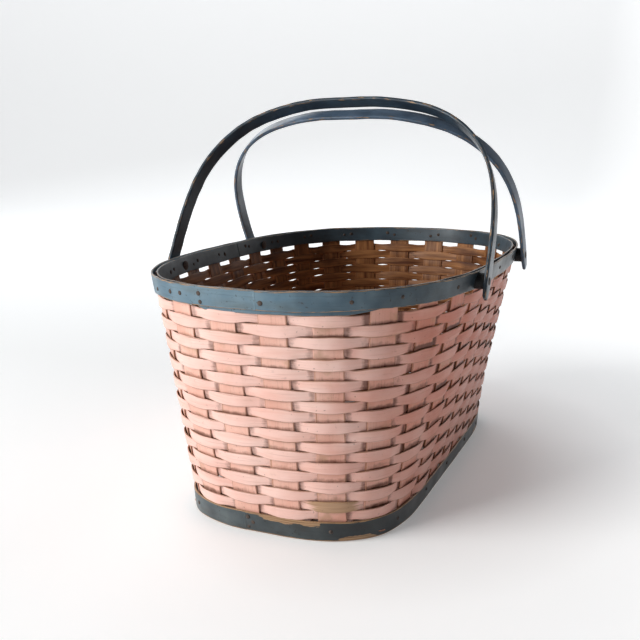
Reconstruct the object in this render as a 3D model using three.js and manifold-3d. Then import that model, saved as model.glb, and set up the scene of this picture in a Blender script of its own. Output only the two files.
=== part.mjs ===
// A woven splint basket with two swing handles.
// Millimetres, +Z up, +Y along the basket. The origin is on the ground under the middle of the base.
// Flat upright splints run up one wall, across the woven floor and up the other wall.
// Weaver rows go round them, a band holds the foot and a pair of hoops holds the rim.

import * as THREE from 'three';
import { mergeVertices } from 'three/addons/utils/BufferGeometryUtils.js';
import Module from 'manifold-3d';

// ---- body: outside sizes of the rim hoop and of the base band ----
const bodyHeight = 232.5;
const rimLength = 497;
const rimWidth = 331;
const baseLength = 426;
const baseWidth = 220;
// Powers of the superellipse outlines: 2 is an ellipse, more is squarer.
const rimPowerX = 2.42;
const rimPowerY = 2.84;
const basePowerX = 2.6;
const basePowerY = 7.0;

// ---- upright splints ----
const lengthwiseCount = 6;
const crosswiseCount = 8;
const splintWidth = 25.4;
const splintThickness = 1.5;
const splintTopDrop = 3;
const floorHeight = 4;
const footClearance = 3;
const widthPerLevel = 3.2;

// ---- weaver rows ----
const rowCount = 20;
const weaverThickness = 1.4;
const weaverGap = 0.8;
const rowGap = 0.55;
const turnMargin = 1;
const rimWindow = 4.6;

// ---- bands and hoops ----
const layerGap = 0.35;
const baseBandHeight = 19.6;
const baseBandThickness = 2;
const bandToWeave = 0.4;
const hoopHeight = 17.5;
const hoopThickness = 1.8;
const spliceHeight = 18.5;
const spliceThickness = 0.9;
const spliceTopDrop = 3;
const spliceFirstStake = -1;
const spliceStakes = 3;
const spliceReach = 0.45;
const innerHoopTopDrop = 0.5;

// ---- handles and pivots ----
const handleWidth = 16.5;
const handleThickness = 3.9;
const handleRise = 191;
const handleLean = THREE.MathUtils.degToRad(30);
const handlePowerX = 2.56;
const handlePowerZ = 3.29;
const handleTail = 16;
const handleTipWidth = 9;
const handleNestGap = 0.5;
const handleSideClearance = 3;
const pivotY = 91;
const pivotDrop = 10;
const rivetRadius = 2.4;
const rivetHeadRadius = 5;
const rivetHeadHeight = 2.2;
const clinchRadius = 5.5;
const clinchThickness = 2;
const spacerRadius = 7.5;
const runningClearance = 0.1;
const fixedClearance = 0.3;

// ---- derived sizes ----
const stakeCount = 2 * (lengthwiseCount + crosswiseCount);
const halfStake = splintThickness / 2;
const spliceInner = halfStake + layerGap;
const hoopInner = spliceInner + spliceThickness + layerGap;
const hoopOuter = hoopInner + hoopThickness;
const bandInner = halfStake + layerGap;
const bandOuter = bandInner + baseBandThickness;
const hoopLow = bodyHeight - hoopHeight;
const pivotZ = bodyHeight - pivotDrop;
const weaveLow = baseBandHeight + bandToWeave;
const weaveHigh = hoopLow - rimWindow;
const rowPitch = (weaveHigh - weaveLow) / rowCount;
const weaveOffset = (splintThickness + weaverThickness) / 2 + weaverGap;

const colours = {
  pinkSplint: 0xd9a08e,
  pinkWeaver: 0xe8b5a4,
  blueHoop: 0x5f7480,
  blueHandle: 0x3f4c57,
  darkMetal: 0x2f2a27,
  rust: 0x6d4a35,
};

const wasm = await Module();
wasm.setup();

// ---- outlines ----

/** Superellipse outline sampled as a closed line that starts at the near end and runs by +X. */
function superellipse(length, width, powerX, powerY) {
  const steps = 4000;
  const points = [];
  const lengths = [0];
  for (let i = 0; i <= steps; i += 1) {
    const angle = (2 * Math.PI * i) / steps - Math.PI / 2;
    const cos = Math.cos(angle);
    const sin = Math.sin(angle);
    const x = (width / 2) * Math.sign(cos) * Math.abs(cos) ** (2 / powerX);
    const y = (length / 2) * Math.sign(sin) * Math.abs(sin) ** (2 / powerY);
    points.push(new THREE.Vector2(x, y));
    if (i > 0) lengths.push(lengths[i - 1] + points[i].distanceTo(points[i - 1]));
  }
  return { points, lengths, total: lengths[steps] };
}

/** Point at a distance along an outline, wrapping past its ends. */
function pointAlong(outline, distance) {
  const wrapped = ((distance % outline.total) + outline.total) % outline.total;
  let low = 0;
  let high = outline.lengths.length - 1;
  while (high - low > 1) {
    const middle = (low + high) >> 1;
    if (outline.lengths[middle] <= wrapped) low = middle;
    else high = middle;
  }
  const span = outline.lengths[high] - outline.lengths[low];
  const share = (wrapped - outline.lengths[low]) / span;
  return outline.points[low].clone().lerp(outline.points[high], share);
}

/** Half width of a superellipse at a distance y from its middle. */
function halfWidthAt(y, length, width, powerX, powerY) {
  return (width / 2) * (1 - (Math.abs(y) / (length / 2)) ** powerY) ** (1 / powerX);
}

const rimCentre = superellipse(rimLength - 2 * hoopOuter, rimWidth - 2 * hoopOuter, rimPowerX, rimPowerY);
const baseCentre = superellipse(baseLength - 2 * bandOuter, baseWidth - 2 * bandOuter, basePowerX, basePowerY);

/** The two straight edges of an upright, each from the base outline to the rim outline. */
function stakeEdges(stake) {
  return [-1, 1].map((side) => {
    const ends = [baseCentre, rimCentre].map((outline) => {
      const middle = ((stake + 0.5) * outline.total) / stakeCount;
      return pointAlong(outline, middle + (side * splintWidth) / 2);
    });
    return { foot: ends[0], head: ends[1] };
  });
}

const stakes = Array.from({ length: stakeCount }, (_, stake) => stakeEdges(stake));

/** Frame of an upright at a height: its two edges, its sideways and its outward direction. */
function stakeFrame(stake, z) {
  const [left, right] = stakes[stake].map((edge) => edge.foot.clone().lerp(edge.head, z / bodyHeight));
  const sideways = right.clone().sub(left).normalize();
  const outward = new THREE.Vector2(sideways.y, -sideways.x);
  return { left, right, sideways, outward };
}

/** Point on one edge of an upright, moved out by an offset and past the edge by a margin. */
function edgePoint(stake, side, z, offset, margin) {
  const frame = stakeFrame(stake, z);
  const edge = side < 0 ? frame.left : frame.right;
  const point = edge.clone().addScaledVector(frame.outward, offset);
  point.addScaledVector(frame.sideways, side * margin);
  return new THREE.Vector3(point.x, point.y, z);
}

// ---- closed bodies ----

/** Geometry with its faces turned out, from corner points and triangles. */
function closedBody(points, triangles) {
  let volume = 0;
  for (const [a, b, c] of triangles) volume += points[a].dot(points[b].clone().cross(points[c]));
  const outward = volume > 0 ? triangles : triangles.map(([a, b, c]) => [a, c, b]);
  const geometry = new THREE.BufferGeometry();
  const position = new Float32Array(points.flatMap((point) => point.toArray()));
  geometry.setAttribute('position', new THREE.BufferAttribute(position, 3));
  geometry.setIndex(outward.flat());
  geometry.computeVertexNormals();
  return geometry;
}

/** Skin through four-cornered sections, closed on itself or capped at both ends. */
function loft(sections, closed) {
  const points = sections.flat();
  const triangles = [];
  const last = closed ? sections.length : sections.length - 1;
  for (let i = 0; i < last; i += 1) {
    const here = 4 * i;
    const next = 4 * ((i + 1) % sections.length);
    for (let k = 0; k < 4; k += 1) {
      const k2 = (k + 1) % 4;
      triangles.push([here + k, next + k, next + k2], [here + k, next + k2, here + k2]);
    }
  }
  if (!closed) {
    const end = 4 * (sections.length - 1);
    triangles.push([0, 1, 2], [0, 2, 3], [end, end + 2, end + 1], [end, end + 3, end + 2]);
  }
  return closedBody(points, triangles);
}

function toSolid(geometry) {
  const bare = geometry.clone();
  bare.deleteAttribute('normal');
  bare.deleteAttribute('uv');
  const merged = mergeVertices(bare, 1e-5);
  const vertProperties = new Float32Array(merged.attributes.position.array);
  const triVerts = new Uint32Array(merged.index.array);
  return new wasm.Manifold(new wasm.Mesh({ numProp: 3, vertProperties, triVerts }));
}

function fromSolid(solid) {
  const mesh = solid.getMesh();
  const geometry = new THREE.BufferGeometry();
  geometry.setAttribute('position', new THREE.BufferAttribute(new Float32Array(mesh.vertProperties), 3));
  geometry.setIndex(Array.from(mesh.triVerts));
  geometry.computeVertexNormals();
  return geometry;
}

/** Round bar along X between two places. */
function barAlongX(radius, fromX, toX, y, z) {
  const bar = new THREE.CylinderGeometry(radius, radius, Math.abs(toX - fromX), 24);
  bar.rotateZ(Math.PI / 2);
  bar.translate((fromX + toX) / 2, y, z);
  return toSolid(bar);
}

// ---- bands that go round every upright ----

/** Section of a band at one edge of an upright, from its inner low corner round to its inner high one. */
function bandSection(stake, side, low, high, inner, outer, margin) {
  return [
    edgePoint(stake, side, low, inner, margin),
    edgePoint(stake, side, low, outer, margin),
    edgePoint(stake, side, high, outer, margin),
    edgePoint(stake, side, high, inner, margin),
  ];
}

/** Closed band between two heights; offsets(stake) gives its inner and outer distance from the uprights. */
function band(low, high, offsets, margin) {
  const sections = [];
  for (let stake = 0; stake < stakeCount; stake += 1) {
    const [inner, outer] = offsets(stake);
    for (const side of [-1, 1]) sections.push(bandSection(stake, side, low, high, inner, outer, margin));
  }
  return loft(sections, true);
}

function hoopBand(low, high, inner, outer) {
  return band(low, high, () => [inner, outer], 0);
}

/** Short strip that backs the joint of the outer hoop and shows as a lip under it. */
function rimSplice() {
  const high = bodyHeight - spliceTopDrop;
  const low = high - spliceHeight;
  const outer = spliceInner + spliceThickness;
  const section = (stake, side) => {
    return bandSection((stake + stakeCount) % stakeCount, side, low, high, spliceInner, outer, 0);
  };
  const reach = (from, to) => from.map((point, i) => point.clone().lerp(to[i], spliceReach));
  const last = spliceFirstStake + spliceStakes - 1;
  const sections = [reach(section(spliceFirstStake, -1), section(spliceFirstStake - 1, 1))];
  for (let stake = spliceFirstStake; stake <= last; stake += 1) {
    for (const side of [-1, 1]) sections.push(section(stake, side));
  }
  sections.push(reach(section(last, 1), section(last + 1, -1)));
  return loft(sections, false);
}

/** Weaver row: it passes outside every other upright and inside the rest. */
function weaverRow(row) {
  const low = weaveLow + (row - 1) * rowPitch + rowGap / 2;
  const high = low + rowPitch - rowGap;
  const offsets = (stake) => {
    const middle = (stake + row) % 2 === 1 ? weaveOffset : -weaveOffset;
    return [middle - weaverThickness / 2, middle + weaverThickness / 2];
  };
  return band(low, high, offsets, turnMargin);
}

// ---- upright splints ----

/** Wall section of an upright, listed from its low-coordinate edge to its high-coordinate edge. */
function wallSection(stake, z, flipped) {
  const first = flipped ? 1 : -1;
  return [
    edgePoint(stake, first, z, -halfStake, 0),
    edgePoint(stake, first, z, halfStake, 0),
    edgePoint(stake, -first, z, halfStake, 0),
    edgePoint(stake, -first, z, -halfStake, 0),
  ];
}

/** Fold where an upright turns from its wall to the floor. */
function foldSection(stake, flipped) {
  const first = flipped ? 1 : -1;
  const above = floorHeight + halfStake;
  const below = floorHeight - halfStake;
  return [
    edgePoint(stake, first, above, -halfStake, 0),
    edgePoint(stake, first, below, halfStake, 0),
    edgePoint(stake, -first, below, halfStake, 0),
    edgePoint(stake, -first, above, -halfStake, 0),
  ];
}

/** A wider splint twists more from side to side, so its wall has more sections. */
const wallLevels = 1 + Math.round(splintWidth / widthPerLevel);
const splintTop = bodyHeight - splintTopDrop;
const wallFoot = baseBandHeight;
const wallHeights = Array.from({ length: wallLevels }, (_, i) => {
  return splintTop - ((splintTop - wallFoot) * i) / (wallLevels - 1);
});

/** A splint's two walls joined by its floor sections. */
function uprightSplint(startStake, endStake, startFlipped, floorSections) {
  const down = wallHeights.map((z) => wallSection(startStake, z, startFlipped));
  const up = [...wallHeights].reverse().map((z) => wallSection(endStake, z, !startFlipped));
  return loft(
    [
      ...down,
      foldSection(startStake, startFlipped),
      ...floorSections,
      foldSection(endStake, !startFlipped),
      ...up,
    ],
    false,
  );
}

const floorStep = (splintThickness + 0.5) / 2;
const sideStakes = Array.from({ length: crosswiseCount }, (_, i) => lengthwiseCount / 2 + i);
const narrowestFoot = Math.min(
  ...sideStakes.flatMap((stake) => [-1, 1].map((side) => edgePoint(stake, side, floorHeight, 0, 0).x)),
);
const floorHalfWidth = narrowestFoot - footClearance;
const lengthwisePitch = (2 * floorHalfWidth - splintWidth) / (lengthwiseCount - 1);

/** X of a lengthwise splint on the floor, counted from the -X side. */
function lengthwiseX(index) {
  return (index - (lengthwiseCount - 1) / 2) * lengthwisePitch;
}

/** Y of a crosswise splint on the floor, counted from the near end. */
function crosswiseY(index) {
  const foot = stakeFrame(sideStakes[index], floorHeight);
  return (foot.left.y + foot.right.y) / 2;
}

/** +1 where the crosswise splint lies over the lengthwise one, -1 where it lies under. */
function crosswiseLevel(lengthwise, crosswise) {
  return (lengthwise + crosswise) % 2 === 0 ? 1 : -1;
}

function lengthwiseSplint(index) {
  const nearStake = (index - lengthwiseCount / 2 + stakeCount) % stakeCount;
  const farStake = (stakeCount / 2 - 1 - nearStake + stakeCount) % stakeCount;
  const middle = lengthwiseX(index);
  const floorSections = [];
  for (let cross = 0; cross < crosswiseCount; cross += 1) {
    const level = floorHeight - crosswiseLevel(index, cross) * floorStep;
    for (const side of [-1, 1]) {
      const y = crosswiseY(cross) + side * (splintWidth / 2 + turnMargin);
      const [low, high] = [middle - splintWidth / 2, middle + splintWidth / 2];
      floorSections.push([
        new THREE.Vector3(low, y, level + halfStake),
        new THREE.Vector3(low, y, level - halfStake),
        new THREE.Vector3(high, y, level - halfStake),
        new THREE.Vector3(high, y, level + halfStake),
      ]);
    }
  }
  return uprightSplint(nearStake, farStake, false, floorSections);
}

function crosswiseSplint(index) {
  const rightStake = sideStakes[index];
  const leftStake = stakeCount - 1 - rightStake;
  const middle = crosswiseY(index);
  const floorSections = [];
  for (let length = 0; length < lengthwiseCount; length += 1) {
    const level = floorHeight + crosswiseLevel(length, index) * floorStep;
    for (const side of [-1, 1]) {
      const x = lengthwiseX(length) + side * (splintWidth / 2 + turnMargin);
      const [low, high] = [middle - splintWidth / 2, middle + splintWidth / 2];
      floorSections.push([
        new THREE.Vector3(x, low, level + halfStake),
        new THREE.Vector3(x, low, level - halfStake),
        new THREE.Vector3(x, high, level - halfStake),
        new THREE.Vector3(x, high, level + halfStake),
      ]);
    }
  }
  return uprightSplint(leftStake, rightStake, true, floorSections);
}

// ---- handles ----

const rimAtLeg = halfWidthAt(pivotY - handleWidth, rimLength, rimWidth, rimPowerX, rimPowerY);
const legX = rimAtLeg + handleSideClearance + handleThickness / 2;

/** Bent strip in its own upright plane, with the pivots at z = 0, fattened all round by grow. */
function handleArch(rise, grow) {
  const path = [];
  const tail = [-handleTail, -handleTail * 0.75, -handleTail * 0.4, 0];
  tail.forEach((z) => path.push(new THREE.Vector2(legX, z)));
  const steps = 44;
  for (let i = 1; i < steps; i += 1) {
    const angle = (Math.PI * i) / steps;
    const cos = Math.cos(angle);
    const x = legX * Math.sign(cos) * Math.abs(cos) ** (2 / handlePowerX);
    path.push(new THREE.Vector2(x, rise * Math.sin(angle) ** (2 / handlePowerZ)));
  }
  [...tail].reverse().forEach((z) => path.push(new THREE.Vector2(-legX, z)));
  const sections = path.map((point, i) => {
    const before = path[Math.max(i - 1, 0)];
    const after = path[Math.min(i + 1, path.length - 1)];
    const along = after.clone().sub(before).normalize();
    const out = new THREE.Vector2(along.y, -along.x).multiplyScalar(handleThickness / 2 + grow);
    const fromTip = Math.min(i, path.length - 1 - i);
    const width = [handleTipWidth, (handleTipWidth + 2 * handleWidth) / 3][fromTip] ?? handleWidth;
    const half = width / 2 + grow;
    return [
      new THREE.Vector3(point.x - out.x, -half, point.y - out.y),
      new THREE.Vector3(point.x + out.x, -half, point.y + out.y),
      new THREE.Vector3(point.x + out.x, half, point.y + out.y),
      new THREE.Vector3(point.x - out.x, half, point.y - out.y),
    ];
  });
  return loft(sections, false);
}

/** Arch with the bore that its rivets pass through. */
function boredArch(rise) {
  const drill = barAlongX(rivetRadius + runningClearance, -rimWidth, rimWidth, 0, 0);
  return fromSolid(toSolid(handleArch(rise, 0)).subtract(drill));
}

/** Solid of an arch leaning over the basket from its own side. */
function leaningArch(direction, rise, grow) {
  const arch = handleArch(rise, grow);
  arch.rotateX(direction * handleLean);
  arch.translate(0, direction * pivotY, pivotZ);
  return toSolid(arch);
}

/** Largest rise at which the far handle still passes under the near one with the nesting gap. */
function nestedRise() {
  const nearArch = leaningArch(-1, handleRise, 0);
  let low = handleRise * 0.7;
  let high = handleRise;
  while (high - low > 0.05) {
    const middle = (low + high) / 2;
    if (nearArch.intersect(leaningArch(1, middle, handleNestGap)).isEmpty()) low = middle;
    else high = middle;
  }
  return low;
}

// ---- pivots ----

/** Filled band that reaches from an inner distance outwards, used to trim pieces to the wall. */
function trimBand(inner, outer) {
  return toSolid(hoopBand(hoopLow - hoopHeight, bodyHeight + hoopHeight, inner, outer));
}

const insideLimit = -halfStake - layerGap - hoopThickness - fixedClearance;
const insideTrim = trimBand(insideLimit, rimWidth / 4);
const outsideTrim = trimBand(-rimWidth / 4, hoopOuter + fixedClearance);

/** Width from the middle to the inner hoop's face at a pivot. */
function insideX() {
  const slope = (rimWidth - baseWidth) / 2 / bodyHeight;
  const face = halfWidthAt(pivotY, rimLength, rimWidth, rimPowerX, rimPowerY) - slope * pivotDrop;
  return face - hoopOuter + insideLimit;
}

/** Rivet with a domed head outside the handle and a clinched head inside the rim. */
function pivotRivet(side, y) {
  const outside = legX + handleThickness / 2 + fixedClearance;
  const inside = insideX();
  const shaft = barAlongX(rivetRadius, side * (inside - clinchThickness), side * outside, y, pivotZ);
  const clinchEnd = side * (inside + 2 * clinchThickness);
  const clinch = barAlongX(clinchRadius, side * (inside - clinchThickness), clinchEnd, y, pivotZ);
  const profile = [new THREE.Vector2(0, -0.4), new THREE.Vector2(rivetRadius * 0.9, -0.4)];
  profile.push(new THREE.Vector2(rivetRadius * 0.9, 0));
  for (let i = 0; i <= 5; i += 1) {
    const angle = (Math.PI / 2) * (i / 5);
    profile.push(new THREE.Vector2(rivetHeadRadius * Math.cos(angle), rivetHeadHeight * Math.sin(angle)));
  }
  profile[profile.length - 1].x = 0;
  const dome = new THREE.LatheGeometry(profile, 24);
  dome.rotateZ((-side * Math.PI) / 2);
  dome.translate(side * outside, y, pivotZ);
  return fromSolid(shaft.add(clinch.subtract(insideTrim)).add(toSolid(dome)));
}

/** Round spacer between the outer hoop and the handle's leg, trimmed to the sloping hoop. */
function pivotSpacer(side, y) {
  const outside = legX - handleThickness / 2 - fixedClearance;
  const body = barAlongX(spacerRadius, side * (outside - 3 * clinchThickness - hoopHeight), side * outside, y, pivotZ);
  const bore = barAlongX(rivetRadius + fixedClearance, 0, side * rimWidth, y, pivotZ);
  return fromSolid(body.subtract(outsideTrim).subtract(bore));
}

/** Bores through everything in the rim that the four rivets pass. */
function drilled(geometry) {
  let solid = toSolid(geometry);
  for (const y of [-pivotY, pivotY]) {
    solid = solid.subtract(barAlongX(rivetRadius + fixedClearance, -rimWidth, rimWidth, y, pivotZ));
  }
  return fromSolid(solid);
}

// ---- the assembly ----

const basket = new THREE.Group();

function piece(name, geometry, colour, roughness, metalness) {
  const material = new THREE.MeshStandardMaterial({ color: colour, roughness, metalness });
  const mesh = new THREE.Mesh(geometry, material);
  mesh.name = name;
  basket.add(mesh);
  return mesh;
}

for (let i = 0; i < lengthwiseCount; i += 1) {
  piece(`lengthwise_splint_${i + 1}`, lengthwiseSplint(i), colours.pinkSplint, 0.8, 0);
}
for (let i = 0; i < crosswiseCount; i += 1) {
  piece(`crosswise_splint_${i + 1}`, drilled(crosswiseSplint(i)), colours.pinkSplint, 0.8, 0);
}
for (let row = 1; row <= rowCount; row += 1) {
  piece(`weaver_row_${String(row).padStart(2, '0')}`, weaverRow(row), colours.pinkWeaver, 0.75, 0);
}

piece('base_band', hoopBand(0, baseBandHeight, bandInner, bandOuter), colours.blueHoop, 0.7, 0);

piece('rim_splice', rimSplice(), colours.blueHoop, 0.7, 0);
piece('outer_rim_hoop', drilled(hoopBand(hoopLow, bodyHeight, hoopInner, hoopOuter)), colours.blueHoop, 0.6, 0);

const innerTop = bodyHeight - innerHoopTopDrop;
const innerFace = halfStake + layerGap;
const innerHoop = hoopBand(innerTop - hoopHeight, innerTop, -innerFace - hoopThickness, -innerFace);
piece('inner_rim_hoop', drilled(innerHoop), colours.blueHoop, 0.65, 0);

const handles = [
  { end: 'near', direction: -1, rise: handleRise },
  { end: 'far', direction: 1, rise: nestedRise() },
];
for (const { end, direction, rise } of handles) {
  const handle = piece(`${end}_handle`, boredArch(rise), colours.blueHandle, 0.5, 0);
  handle.position.set(0, direction * pivotY, pivotZ);
  handle.rotation.x = direction * handleLean;
  for (const [sideName, side] of [['left', -1], ['right', 1]]) {
    piece(`${end}_${sideName}_spacer`, pivotSpacer(side, direction * pivotY), colours.darkMetal, 0.5, 0);
    piece(`${end}_${sideName}_rivet`, pivotRivet(side, direction * pivotY), colours.rust, 0.5, 0.8);
  }
}

export default basket;
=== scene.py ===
import math

import bpy
import numpy as np
from mathutils import Matrix, Vector


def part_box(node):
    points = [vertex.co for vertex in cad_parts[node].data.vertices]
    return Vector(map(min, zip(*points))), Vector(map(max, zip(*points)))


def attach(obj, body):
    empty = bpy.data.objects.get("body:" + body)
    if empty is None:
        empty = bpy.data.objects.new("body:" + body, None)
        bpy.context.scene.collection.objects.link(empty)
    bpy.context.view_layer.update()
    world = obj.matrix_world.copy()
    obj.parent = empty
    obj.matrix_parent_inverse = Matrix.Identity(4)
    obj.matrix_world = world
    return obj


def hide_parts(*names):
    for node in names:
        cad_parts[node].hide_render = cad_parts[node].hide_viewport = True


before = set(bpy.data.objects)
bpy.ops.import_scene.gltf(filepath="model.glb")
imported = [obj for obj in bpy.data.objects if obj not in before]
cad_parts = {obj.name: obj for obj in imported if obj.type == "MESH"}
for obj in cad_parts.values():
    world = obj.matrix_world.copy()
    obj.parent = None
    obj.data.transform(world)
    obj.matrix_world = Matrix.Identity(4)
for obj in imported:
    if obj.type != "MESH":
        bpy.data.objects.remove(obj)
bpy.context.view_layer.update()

# ---- Viewpoint, floor and light ----
# The basket stands on a sheet of pale studio paper that sweeps up behind it. Two soft windows light it
# from the left, near and far, and the paper glows of itself as painted light, with painted shadows that
# halve the glow in the basket's shade and take nearly all of it away under the basket. The viewer is a
# little above the rim, off the near right corner.

scene = bpy.context.scene
scene.view_settings.view_transform = "Standard"

viewer_place = Vector((0.3329, -0.8500, 0.3530))
viewer_turn = -0.4112
viewer_dip = 0.2120
viewer_roll = -0.0166
forward = Vector((
    math.sin(viewer_turn) * math.cos(viewer_dip),
    math.cos(viewer_turn) * math.cos(viewer_dip),
    -math.sin(viewer_dip),
))
level = Vector((math.cos(viewer_turn), -math.sin(viewer_turn), 0.0))
upward = level.cross(forward)
right_hand = level * math.cos(viewer_roll) + upward * math.sin(viewer_roll)
overhead = upward * math.cos(viewer_roll) - level * math.sin(viewer_roll)
camera_data = bpy.data.cameras.new("viewer")
camera_data.sensor_width = 36.0
camera_data.lens = 47.85
camera_data.clip_end = 50.0
camera = bpy.data.objects.new("viewer", camera_data)
viewer_axes = Matrix((right_hand, overhead, -forward)).transposed()
camera.matrix_world = Matrix.Translation(viewer_place) @ viewer_axes.to_4x4()
scene.collection.objects.link(camera)
scene.camera = camera


def tint(red, green, blue):
    """Linear colour from display values between 0 and 1: each is raised to the power 2.2."""
    return (red ** 2.2, green ** 2.2, blue ** 2.2, 1.0)


def window(name, place, target, width, height, power, colour):
    """Soft rectangular lamp that faces a target point."""
    light = bpy.data.lights.new(name, "AREA")
    light.shape = "RECTANGLE"
    light.size = width
    light.size_y = height
    light.energy = power
    light.color = colour[:3]
    holder = bpy.data.objects.new(name, light)
    place = Vector(place)
    aim = (Vector(target) - place).to_track_quat("-Z", "Y")
    holder.matrix_world = Matrix.Translation(place) @ aim.to_matrix().to_4x4()
    scene.collection.objects.link(holder)


basket_middle = (0.0, 0.0, 0.15)
window("near_window", (-1.5, -1.7, 1.2), basket_middle, 1.4, 1.7, 63.0, tint(1.0, 0.995, 0.985))
window("far_window", (-1.9, 2.4, 1.9), (0.0, 0.0, 0.3), 2.6, 1.4, 26.0, tint(0.97, 0.99, 1.0))

world = bpy.data.worlds.new("studio")
world.use_nodes = True
world.node_tree.nodes["Background"].inputs["Color"].default_value = tint(0.93, 0.94, 0.95)
world.node_tree.nodes["Background"].inputs["Strength"].default_value = 0.09
scene.world = world


def node(tree, kind, inputs=None, **settings):
    """New shader node: settings are its own choices, and each input is a value or a socket to link."""
    made = tree.nodes.new("ShaderNode" + kind)
    for key, value in settings.items():
        setattr(made, key, value)
    for key, value in (inputs or {}).items():
        if isinstance(value, bpy.types.NodeSocket):
            tree.links.new(value, made.inputs[key])
        else:
            made.inputs[key].default_value = value
    return made


def new_finish(name, roughness, specular):
    """Material with a plain shader, its node tree and the shader."""
    material = bpy.data.materials.new(name)
    material.use_nodes = True
    shader = material.node_tree.nodes["Principled BSDF"]
    shader.inputs["Roughness"].default_value = roughness
    shader.inputs["Specular IOR Level"].default_value = specular
    return material, material.node_tree, shader


def between(tree, value, low, high, start=0.0, finish=1.0):
    """Value spread so that low gives the start and high gives the finish, and held there beyond them."""
    spread = {"Value": value, "From Min": low, "From Max": high, "To Min": start, "To Max": finish}
    return node(tree, "MapRange", spread).outputs["Result"]


def times(tree, first, second):
    """Product of two values."""
    return node(tree, "Math", {0: first, 1: second}, operation="MULTIPLY").outputs["Value"]


def plus(tree, first, second):
    """Sum of two values."""
    return node(tree, "Math", {0: first, 1: second}, operation="ADD").outputs["Value"]


def layer(tree, share, under, over):
    """Colour over another, by a share."""
    return node(tree, "MixRGB", {"Fac": share, "Color1": under, "Color2": over}).outputs["Color"]


sheet_front = -5.0
sheet_back = 3.0
sheet_bend = 1.5
sheet_height = 5.0
sheet_half_width = 7.0
# Painted shadows on the paper's glow: an oval off the basket's +X side, and a patch under its foot.
shade_reach = (0.20, 0.26)
shade_shift = (0.3, 0.08)
shade_left = 0.5
foot_shadow_reach = (0.106, 0.210)
foot_shadow_left = 0.03


def sweep_sheet():
    """Sheet flat up to a distance behind the object, then a quarter circle, then an upright wall."""
    bend = np.linspace(0.1, 0.5 * np.pi, 16)
    flat = np.stack([np.linspace(sheet_front, sheet_back, 9), np.zeros(9)], 1)
    curve = [sheet_back + sheet_bend * np.sin(bend), sheet_bend - sheet_bend * np.cos(bend)]
    profile = np.concatenate([flat, np.stack(curve, 1), [[sheet_back + sheet_bend, sheet_height]]])
    depth, side = np.meshgrid(profile[:, 0], [-sheet_half_width, sheet_half_width], indexing="ij")
    height = np.repeat(profile[:, 1:2], 2, axis=1)
    x = depth * math.sin(viewer_turn) + side * math.cos(viewer_turn)
    y = depth * math.cos(viewer_turn) - side * math.sin(viewer_turn)
    row = np.arange(len(profile) - 1)
    faces = np.stack([2 * row, 2 * row + 1, 2 * row + 3, 2 * row + 2], 1)
    mesh = bpy.data.meshes.new("studio_paper")
    mesh.from_pydata(np.stack([x, y, height], 2).reshape(-1, 3).tolist(), [], faces.tolist())
    mesh.polygons.foreach_set("use_smooth", np.ones(len(faces), bool))
    return mesh


def painted_shadow_share(tree, place):
    """Share of the glow left at a place, which paints shadows on the paper: half in the basket's shade, an
    oval whose middle is shifted toward +X by a share of its reach, and hardly any under it, where
    (x/a)^4 + (y/b)^4 is under one."""
    shade_oval = node(tree, "Mapping", {
        "Vector": place,
        "Location": (-shade_shift[0], -shade_shift[1], 0.0),
        "Scale": (1 / shade_reach[0], 1 / shade_reach[1], 0.0),
    })
    reach = node(tree, "VectorMath", {0: shade_oval.outputs["Vector"]}, operation="LENGTH").outputs["Value"]
    foot_scale = (1 / foot_shadow_reach[0], 1 / foot_shadow_reach[1], 0.0)
    foot = node(tree, "Mapping", {"Vector": place, "Scale": foot_scale}).outputs["Vector"]
    square = node(tree, "VectorMath", {0: foot, 1: foot}, operation="MULTIPLY").outputs["Vector"]
    power = node(tree, "VectorMath", {0: square, 1: square}, operation="DOT_PRODUCT").outputs["Value"]
    in_shade = between(tree, reach, 0.6, 1.3, shade_left, 1.0)
    shadow_under_basket = between(tree, power, 0.7, 1.05, foot_shadow_left, 1.0)
    return times(tree, in_shade, shadow_under_basket)


def studio_paper():
    """Matt pale paper that glows a little of itself, more so toward the back and toward +X. The glow is
    painted light, and it lights the basket too."""
    paper, tree, shader = new_finish("studio_paper", 0.85, 0.15)
    fibre = node(tree, "TexNoise", {"Scale": 3.0, "Detail": 2.0}).outputs["Fac"]
    tone = layer(tree, fibre, tint(0.925, 0.93, 0.935), tint(0.935, 0.937, 0.94))
    tree.links.new(tone, shader.inputs["Base Color"])
    shader.inputs["Emission Color"].default_value = tint(0.98, 0.985, 0.99)
    place = node(tree, "TexCoord").outputs["Object"]
    axes = node(tree, "SeparateXYZ", {"Vector": place}).outputs
    # Painted light: the glow grows toward the back and toward +X, less where the painted shadows fall.
    back_glow = between(tree, plus(tree, axes["Y"], axes["Z"]), 0.25, 1.2, 0.235, 0.54)
    side_glow = between(tree, axes["X"], -0.2, 0.35, 0.0, 0.27)
    glow = times(tree, plus(tree, back_glow, side_glow), painted_shadow_share(tree, place))
    tree.links.new(glow, shader.inputs["Emission Strength"])
    return paper


studio_sheet = bpy.data.objects.new("studio_paper", sweep_sheet())
studio_sheet.data.materials.append(studio_paper())
scene.collection.objects.link(studio_sheet)

# ---- Upright splints ----
# Fourteen flat splints of split oak, an inch wide. Each runs up one wall, bends under, crosses the
# floor woven over and under the others, and runs up the opposite wall. Pink paint covers the outside.

body_height = 0.2325
rim_size = (0.497, 0.331)
base_size = (0.426, 0.220)
rim_powers = (2.42, 2.84)
base_powers = (2.6, 7.0)
rim_inset = 0.00415
base_inset = 0.0031
upright_count = 28
splint_width = 0.0254
splint_thick = 0.0015
splint_top = body_height - 0.003
splint_give = 0.0003
lengthwise_count = 6
crosswise_count = 8
floor_height = 0.004
floor_step = 0.001
foot_clearance = 0.003
bend_height = 0.015
bend_reach = 0.016
bend_pull = 0.008
wall_points = 170
floor_points = 150
row_count = 20
weave_low = 0.020
weave_high = 0.2104
row_pitch = (weave_high - weave_low) / row_count


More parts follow.
